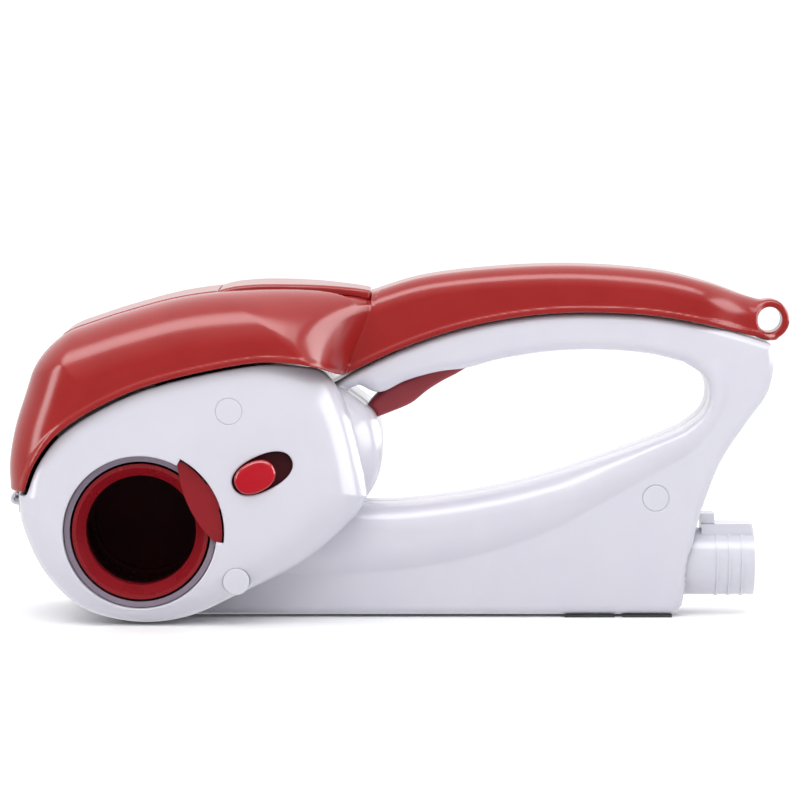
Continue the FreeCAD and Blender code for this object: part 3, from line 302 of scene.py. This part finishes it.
# ---------------------------------------------------------------- finishes
def finish_material(name, colour, other, roughness, grain=0.0, coat=0.0, metallic=0.0, scale=60, **extra):
    """A procedural finish: two tones that drift into each other, uneven gloss and a fine surface grain."""
    material = bpy.data.materials.new(name)
    material.use_nodes = True
    nodes, links = material.node_tree.nodes, material.node_tree.links
    shader = nodes["Principled BSDF"]
    shader.inputs["Metallic"].default_value = metallic
    shader.inputs["Coat Weight"].default_value = coat
    shader.inputs["Coat Roughness"].default_value = 0.08
    for socket, value in extra.items():
        shader.inputs[socket.replace("_", " ")].default_value = value
    place = nodes.new("ShaderNodeTexCoord")
    drift = nodes.new("ShaderNodeTexNoise")
    drift.inputs["Scale"].default_value = scale
    drift.inputs["Detail"].default_value = 5
    links.new(place.outputs["Object"], drift.inputs["Vector"])
    tone = nodes.new("ShaderNodeValToRGB")
    tone.color_ramp.elements[0].position = 0.35
    tone.color_ramp.elements[1].position = 0.65
    tone.color_ramp.elements[0].color = (*colour, 1)
    tone.color_ramp.elements[1].color = (*other, 1)
    links.new(drift.outputs["Fac"], tone.inputs["Fac"])
    links.new(tone.outputs["Color"], shader.inputs["Base Color"])
    gloss = nodes.new("ShaderNodeMapRange")
    gloss.inputs["To Min"].default_value = roughness * 0.85
    gloss.inputs["To Max"].default_value = roughness * 1.15
    links.new(drift.outputs["Fac"], gloss.inputs["Value"])
    links.new(gloss.outputs["Result"], shader.inputs["Roughness"])
    if grain:
        fine = nodes.new("ShaderNodeTexNoise")
        fine.inputs["Scale"].default_value = GRAIN_SCALE
        fine.inputs["Detail"].default_value = 3
        links.new(place.outputs["Object"], fine.inputs["Vector"])
        bump = nodes.new("ShaderNodeBump")
        bump.inputs["Strength"].default_value = grain
        bump.inputs["Distance"].default_value = 0.0001
        links.new(fine.outputs["Fac"], bump.inputs["Height"])
        links.new(bump.outputs["Normal"], shader.inputs["Normal"])
    return material


FINISH = {
    "white_plastic": finish_material(
        "white_plastic", (0.62, 0.615, 0.69), (0.635, 0.63, 0.70), 0.2, 0.05,
    ),
    "red_plastic": finish_material("red_plastic", (0.30, 0.014, 0.013), (0.32, 0.016, 0.015), 0.2, 0.03),
    "dark_red_plastic": finish_material(
        "dark_red_plastic", (0.24, 0.006, 0.012), (0.27, 0.008, 0.014), 0.28, 0.15,
    ),
    "trigger_plastic": finish_material(
        "trigger_plastic", (0.27, 0.022, 0.034), (0.29, 0.026, 0.038), 0.48, 0.35,
    ),
    "button_plastic": finish_material(
        "button_plastic", (0.42, 0.004, 0.014), (0.45, 0.006, 0.016), 0.12, 0.03, coat=0.5,
    ),
    "lilac_plastic": finish_material("lilac_plastic", (0.24, 0.19, 0.25), (0.27, 0.22, 0.28), 0.35, 0.1),
    "black_plastic": finish_material(
        "black_plastic", (0.012, 0.012, 0.013), (0.02, 0.02, 0.021), 0.4, 0.2,
    ),
    "slot_shadow": finish_material(
        "slot_shadow", (0.030, 0.002, 0.005), (0.040, 0.003, 0.006), 0.6, 0.2, Specular_IOR_Level=0.15,
    ),
    "gear_nylon": finish_material("gear_nylon", (0.72, 0.70, 0.62), (0.76, 0.74, 0.66), 0.42, 0.2),
    # The drum's steel is darkened and tinted red: painted shade of the drum's inside and a painted
    # reflection of the red housing.
    "drum_steel": finish_material(
        "drum_steel", (0.24, 0.09, 0.09), (0.32, 0.13, 0.13), 0.32, 0.1, metallic=1, scale=200,
    ),
    "spring_steel": finish_material(
        "spring_steel", (0.5, 0.5, 0.51), (0.58, 0.57, 0.56), 0.3, 0.1, metallic=1, scale=300,
    ),
    "motor_steel": finish_material(
        "motor_steel", (0.42, 0.42, 0.44), (0.5, 0.5, 0.51), 0.35, 0.15, metallic=1, scale=150,
    ),
    "brass": finish_material(
        "brass", (0.70, 0.48, 0.18), (0.76, 0.54, 0.24), 0.28, 0.1, metallic=1, scale=200,
    ),
    "foot_rubber": finish_material("foot_rubber", (0.03, 0.03, 0.032), (0.045, 0.045, 0.047), 0.75, 0.6),
    "cell_wrap": finish_material(
        "cell_wrap", (0.05, 0.16, 0.30), (0.06, 0.19, 0.34), 0.3, 0.05, coat=0.3,
    ),
}


def carry(piece, body, slot, *nodes, finish=None):
    """The piece takes a slot's finish, moves with a body and stands for CAD nodes."""
    piece.data.materials.clear()
    piece.data.materials.append(FINISH[finish or slot])
    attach(piece, body)
    if nodes:
        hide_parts(*nodes)
    return piece


for row in frame["record"]["subparts"]:
    node = frame["nodes"][row["node"]]
    for material_slot in node.material_slots:
        material_slot.material = FINISH[row["material_slot"]]

frame["nodes"]["drum_hub"].material_slots[0].material = FINISH["slot_shadow"]
frame["nodes"]["hinge_pin"].material_slots[0].material = FINISH["white_plastic"]

# ---------------------------------------------------------------- lever: hood, handle and loop

def lever_fields(block):
    """The lever's outside, the region past its lower edge, and its outline seen from the side."""
    x, y, z = block.x, block.y, block.z
    front = block.outline(loop(HOOD_NOSE, [(139, 150), (139, 20), (-144.4, 20)]))
    top = block.outline(loop(HOOD_BACK, LEVER_TOP, [(139, 116), (139, 20), (-200, 20)]))
    silhouette = meet(front, top, NOSE_ROUND)
    seam = block.outline(loop(HOOD_SEAM, LEVER_SEAM, [(170, 103.5), (170, 200), (-170, 200), (-170, 49.6)]))
    (low_x, low_z), (top_x, top_z) = CREASE_LOW, CREASE_TOP
    crease_x = low_x + (z - low_z) * (top_x - low_x) / (top_z - low_z)
    flank = FLANK_LOW + FLANK_SPREAD * np.clip((z - 88) / 34, 0, 2) ** 1.25
    t = np.clip((crease_x - x) / flank, 0, 1)
    handle = LEVER_HALF - 8 * ease((x - 108) / 26)
    half = handle + (HOOD_HALF - handle) * (1 - (1 - t) ** FLANK_POWER)
    lip = 0.55 * ease((seam + 2.6) / 0.9)
    r = LEVER_ROUND + (HOOD_ROUND - LEVER_ROUND) * ease(t)
    steep = FLANK_POWER * (1 - t) ** (FLANK_POWER - 1) * (t > 0) * (HOOD_HALF - LEVER_HALF) / flank
    slope = 1 / np.sqrt(1 + steep**2)
    side = (np.abs(y) - half - lip) * slope
    return meet(silhouette, side, r), seam, silhouette


block = Block((-148, -49, 41), (150, 49, 135), 0.6)
outside, seam, silhouette = lever_fields(block)
hollow = outside + LEVER_WALL + 60 * ease((block.x - 112) / 6)
lever = meet(outside, seam, 0.7)
lever = np.maximum(lever, -hollow)
ring = meet(block.disc(HANG, LOOP_RADIUS), np.abs(block.y) - LOOP_HALF, 1.6)
lever = join(lever, ring, 1.5)
lever = meet(lever, -block.disc(HANG, LOOP_HOLE), 0.8)
deep = -silhouette - RECESS_DEPTH
for front, rear in ((PANEL_FRONT, PANEL_REAR), (CAP_FRONT, CAP_REAR)):
    seat = np.maximum(np.maximum(front - block.x, block.x - rear), np.abs(block.y) - PANEL_HALF)
    lever = np.maximum(lever, -np.maximum(np.maximum(seat - INLAY_GAP, -outside - INLAY_DEPTH), deep))
barrel = meet(block.disc(HINGE, BARREL_RADIUS), np.abs(block.y) - BARREL_HALF, 0.5)
web = np.maximum(np.abs(block.x + 143) - 1.3, np.abs(block.y) - BARREL_HALF)
web = np.maximum(web, np.abs(block.z - 49.5) - 4)
lever = np.minimum(lever, np.minimum(barrel, web))
lever = np.maximum(lever, -block.disc(HINGE, PIN_RADIUS))
carry(block.mesh("lever_moulding", lever), "lever", "red_plastic", "lever_shell")

block = Block((-128, -23, 100), (-66, 23, 126), 0.5)
outside = lever_fields(block)[0]
panel_ends = np.maximum(PANEL_FRONT - block.x, block.x - PANEL_REAR)
panel = meet(np.maximum(panel_ends, np.abs(block.y) - PANEL_HALF), outside - 0.35, 0.5)
carry(block.mesh("hood_panel", np.maximum(panel, -outside - 1.4)), "lever", "red_plastic", "hood_inlay")

block = Block((-69, -23, 114), (-10, 23, 128), 0.4)
outside = lever_fields(block)[0]
crown = block.outline(loop(CAP_CROWN, [(CAP_REAR, 110), (CAP_FRONT, 110)]))
cap = meet(crown, np.abs(block.y) - PANEL_HALF * (1 - 0.35 * ease((block.x + 45) / 34)), 1.6)
carry(block.mesh("thumb_rest", np.maximum(cap, -outside - 1.4)), "lever", "red_plastic", "thumb_cap")

# ---------------------------------------------------------------- cover with the drum's mouth
def egg(block, face, r_front, r_rear):
    """A rounded cover with its face at a distance from the middle plane."""
    rim = block.outline(loop(COVER_RIM, COVER_TOP))
    r = r_front + (r_rear - r_front) * ease((block.x + 72) / 42)
    return meet(rim, np.abs(block.y) - face, r), rim


block = Block((-144, -46, -1), (-9, -24.5, 103), 0.45)
outside, rim = egg(block, HEAD_HALF, 12, 17.5)
cover = np.maximum(outside, block.y + COVER_SEAM)
below_hood = block.outline(loop(HOOD_SEAM, [(-10, 91), (-10, -20), (-160, -20), (-160, 49.6)]))
cover = meet(cover, below_hood + SEAM_GAP, 0.5)
cover = np.maximum(cover, -(outside + WALL))
sleeve_wall = np.maximum(block.disc(DRUM, MOUTH_RADIUS + 2), outside)
sleeve_wall = np.maximum(sleeve_wall, block.y + 36)
cover = np.minimum(cover, sleeve_wall)
angle = np.arctan2(block.z - DRUM[1], block.x - DRUM[0])
wedge = np.abs(angle - NOTCH_MIDDLE) * 29 - NOTCH_SPREAD * 29
notch = np.maximum(block.disc(DRUM, NOTCH_RADIUS), wedge)
mouth = np.minimum(block.disc(DRUM, MOUTH_RADIUS), np.maximum(notch, block.y - NOTCH_FLOOR))
cover = meet(cover, -mouth, 0.5)
pocket = block.oval(SHUTTER_PLACE + 3.3, SLOT_LONG + 18, SLOT_WIDE + 4)
cover = np.maximum(cover, -np.maximum(pocket, -block.y - 42.25))
cover = meet(cover, -block.oval(SLOT_PLACE, SLOT_LONG, SLOT_WIDE), 0.5)
for place in SCREWS:
    cover = np.maximum(cover, -block.disc(place, PLUG_RADIUS + 0.25))
carry(block.mesh("mouth_cover", cover), "housing", "white_plastic", "drum_side_cover")

# ---------------------------------------------------------------- casing halves
def head_field(block, half):
    """The egg-shaped head with the motor's bulge at its rear."""
    rim = block.outline(loop(HEAD_LOWER, HEAD_BULGE, HEAD_DECK))
    r = 1.2 + 15 * ease((block.x + 46) / 34)
    return meet(rim, np.abs(block.y) - half, r)


def grip_field(block):
    """The hand loop: upper bar, rear column, arched lower arm and the flat web under it."""
    around = block.outline(loop([(-78, 1), (101.6, 1)], COLUMN, SEAT, [(-40, 80), (-60, 40), (-78, 10)]))
    opening = block.outline(loop(ROOF, REAR, FLOOR, [(-24, 44), (-24, 84)]))
    band = block.outline(loop(CREASE, [(60, 80), (-30, 60), (-70, 60)]))
    depth = -band
    swell = 1 - (1 - np.clip(depth / 10, 0, 1)) ** 2
    half = GRIP_HALF + BAND_RISE * swell * ease((100 - block.z) / 16)
    side = np.abs(block.y) - half
    edge = meet(around, side, 3.5)
    r = 5 + 5 * ease((70 - block.z) / 20)
    return np.maximum(edge, meet(-opening, side, r))


def battery_bore(block):
    """Room for the tube that the battery pack slides in."""
    low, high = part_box("battery_sleeve")
    centre = (low + high) / 2 / MM
    radius = (high.z - low.z) / 2 / MM + 0.15
    tube = np.hypot(block.y - centre.y, block.z - centre.z) - radius
    return np.maximum(tube, (low.x / MM - 0.5) - block.x)


def hopper_hole(block):
    """Room for the hopper, open at the top."""
    low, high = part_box("hopper")
    reach = np.maximum(np.maximum(low.x / MM - 0.4 - block.x, block.x - high.x / MM - 0.4),
                       np.maximum(low.y / MM - 0.4 - block.y, block.y - high.y / MM - 0.4))
    return np.maximum(reach, 70 - block.z)


def casing(name, near, *nodes):
    """One half of the body's casing, hollow, with its hinge bracket and its openings."""
    low_y, high_y = (-35, 0.6) if near else (-0.6, 27)
    block = Block((-146, low_y, -1), (141, high_y, 116), 0.6)
    outside = join(head_field(block, BULGE_HALF if near else 40), grip_field(block), 0.8)
    shell = np.maximum(outside, -(outside + WALL))
    barrel_end = BARREL_HALF + BARREL_ROOM
    away = np.abs(np.abs(block.y) - (BRACKET_HALF + barrel_end) / 2) - (BRACKET_HALF - barrel_end) / 2
    lug = meet(block.disc((HINGE[0], HINGE[1] - 0.2), BARREL_RADIUS), away, 0.5)
    arm = np.maximum(np.maximum(np.abs(block.x + 140.4) - 1.7, away), np.abs(block.z - 43) - 3)
    shell = np.minimum(shell, np.minimum(lug, arm))
    barrel_room = np.maximum(block.disc(HINGE, BARREL_RADIUS + 0.5), np.abs(block.y) - barrel_end)
    shell = np.maximum(shell, -barrel_room)
    shell = meet(shell, (block.y if near else -block.y) + 0.08, 0.3)
    if near:
        rim = block.outline(loop(COVER_RIM, COVER_TOP))
        shell = np.maximum(shell, -np.maximum(rim + 1.2, block.y + COVER_SEAM - 0.2))
        shell = np.maximum(shell, -block.disc(REAR_SCREW, PLUG_RADIUS + 0.25))
    else:
        shell = np.maximum(shell, block.y - COVER_SEAM + 0.15)
    shell = np.maximum(shell, -battery_bore(block))
    along = np.abs(block.x - TRIGGER_MIDDLE[0]) - TRIGGER_REACH[0]
    pocket = np.maximum(along, np.abs(block.z - TRIGGER_MIDDLE[1]) - TRIGGER_REACH[1])
    shell = np.maximum(shell, -np.maximum(pocket, np.abs(block.y) - TRIGGER_WAY))
    shell = np.maximum(shell, -hopper_hole(block))
    carry(block.mesh(name, shell), "housing", "white_plastic", *nodes)


casing("near_casing", True, "near_shell")
casing("far_casing", False, "far_shell")

block = Block((-144, 24.5, -1), (-4, 46, 103), 0.6)
rim = block.outline(loop(HEAD_LOWER, HEAD_BULGE, HEAD_DECK))
outside = meet(rim, np.abs(block.y) - HEAD_HALF, 7)
cover = np.maximum(np.maximum(outside, COVER_SEAM + 0.15 - block.y), -(outside + WALL))
carry(block.mesh("gear_cover", cover), "housing", "white_plastic", "gearbox_cover")

PLUGS = [(SCREWS[0], HEAD_HALF), (SCREWS[1], HEAD_HALF), (REAR_SCREW, GRIP_HALF)]
for index, (place, face) in enumerate(PLUGS):
    block = Block((place[0] - 6, -face - 0.8, place[1] - 6), (place[0] + 6, -face + 3, place[1] + 6), 0.2)
    plug = meet(block.disc(place, PLUG_RADIUS + 0.24), np.abs(block.y + face - 1.2) - 1.2, 0.3)
    nodes = ["screw_plugs"] if index == 0 else []
    carry(block.mesh(f"screw_plug_{index + 1}", plug), "housing", "white_plastic", *nodes)

# ---------------------------------------------------------------- trigger, button and latch
block = Block((-14, -8, 73), (28, 8, 103), 0.35)
outline = block.outline(loop(TRIGGER_TOP, TRIGGER_GRIP))
blade = meet(outline, np.abs(block.y) - 6.8, 2.2)
carry(block.mesh("trigger_blade", blade), "trigger", "trigger_plastic", "trigger")

u = DRUM[0] + BUTTON_PLACE * math.cos(LATCH_ANGLE)
v = DRUM[1] + BUTTON_PLACE * math.sin(LATCH_ANGLE)
block = Block((u - 10, -48, v - 10), (u + 10, -38, v + 10), 0.25)
pill = block.oval(BUTTON_PLACE, BUTTON_LONG, BUTTON_WIDE)
button = meet(pill, -block.y - BUTTON_TOP - 0.02 * pill * (pill > -3), 1.5)
button = np.maximum(button, block.y + 39)
carry(block.mesh("button_pad", button), "latch", "button_plastic", "latch_button")

u = DRUM[0] + SHUTTER_PLACE * math.cos(LATCH_ANGLE)
v = DRUM[1] + SHUTTER_PLACE * math.sin(LATCH_ANGLE)
block = Block((u - 20, -42.6, v - 16), (u + 20, -41.4, v + 16), 0.2)
plate = np.abs(block.y - SHUTTER_MIDDLE) - 0.15
shutter = meet(block.oval(SHUTTER_PLACE, SLOT_LONG + 10, SLOT_WIDE + 2.4), plate, 0.1)
carry(block.mesh("latch_shutter", shutter), "latch", "dark_red_plastic", finish="slot_shadow")

# ---------------------------------------------------------------- floor, lights and camera
def area_light(name, place, aim, size, power, gloss_only=False):
    """A softbox. A gloss-only one gives its highlight and no general light."""
    data = bpy.data.lights.new(name, "AREA")
    data.shape = "RECTANGLE"
    data.size, data.size_y = size
    data.energy = power
    light = bpy.data.objects.new(name, data)
    light.location = place
    light.rotation_euler = (Vector(aim) - Vector(place)).to_track_quat("-Z", "Y").to_euler()
    light.visible_diffuse = not gloss_only
    light.visible_camera = False
    bpy.context.scene.collection.objects.link(light)
    return light


CENTRE = (0, 0, 0.07)
area_light("key_softbox", (-0.1, -0.7, 1.2), CENTRE, (1.4, 0.5), 5)
front_fill = area_light("front_fill", (0, -1.5, 1.2), CENTRE, (1.6, 0.8), 8)
front_fill.visible_glossy = False
area_light("shoulder_strip", (-0.05, -0.55, 1.15), CENTRE, (2.2, 0.55), 15, gloss_only=True)
area_light("right_panel", (1.3, 0.35, 0.45), CENTRE, (3.0, 1.0), 55, gloss_only=True)
area_light("left_strip", (-1.3, -0.5, 0.4), CENTRE, (0.35, 0.8), 6, gloss_only=True)

floor_mesh = bpy.data.meshes.new("floor")
reach = 60
corners = [(-reach, -reach, 0), (reach, -reach, 0), (reach, reach, 0), (-reach, reach, 0)]
floor_mesh.from_pydata(corners, [], [(0, 1, 2, 3)])
floor = bpy.data.objects.new("floor", floor_mesh)
bpy.context.scene.collection.objects.link(floor)
paper = finish_material("floor_paper", (0.93, 0.93, 0.93), (0.95, 0.95, 0.95), 0.9, scale=3)
floor.data.materials.append(paper)
floor.visible_glossy = False

world = bpy.data.worlds.new("studio")
bpy.context.scene.world = world
world.use_nodes = True
nodes, links = world.node_tree.nodes, world.node_tree.links
direction = nodes.new("ShaderNodeTexCoord")
split = nodes.new("ShaderNodeSeparateXYZ")
links.new(direction.outputs["Generated"], split.inputs["Vector"])
sides = nodes.new("ShaderNodeMapRange")
sides.inputs["From Min"].default_value = -0.5
sides.inputs["From Max"].default_value = 0.7
sides.inputs["To Min"].default_value = FRONT_DIM
sides.inputs["To Max"].default_value = 1.05
links.new(split.outputs["Y"], sides.inputs["Value"])
height = nodes.new("ShaderNodeMapRange")
height.inputs["To Max"].default_value = 0.9
links.new(split.outputs["Z"], height.inputs["Value"])
both = nodes.new("ShaderNodeMath")
links.new(sides.outputs["Result"], both.inputs[0])
links.new(height.outputs["Result"], both.inputs[1])
links.new(both.outputs["Value"], nodes["Background"].inputs["Strength"])
nodes["Background"].inputs["Color"].default_value = (1, 1, 1, 1)
bpy.context.scene.view_settings.view_transform = "Standard"

camera_data = bpy.data.cameras.new("camera")
camera_data.lens = 191.7
camera_data.sensor_width = 36
camera_data.clip_start = 0.05
camera = bpy.data.objects.new("camera", camera_data)
bpy.context.scene.collection.objects.link(camera)
bpy.context.scene.camera = camera
TARGET = Vector((-0.00056, 0, 0.0803))
DOWN = math.radians(4.7)
DISTANCE = 1.6
camera.location = TARGET + DISTANCE * Vector((0, -math.cos(DOWN), math.sin(DOWN)))
camera.rotation_euler = (math.radians(90) - DOWN, 0, 0)
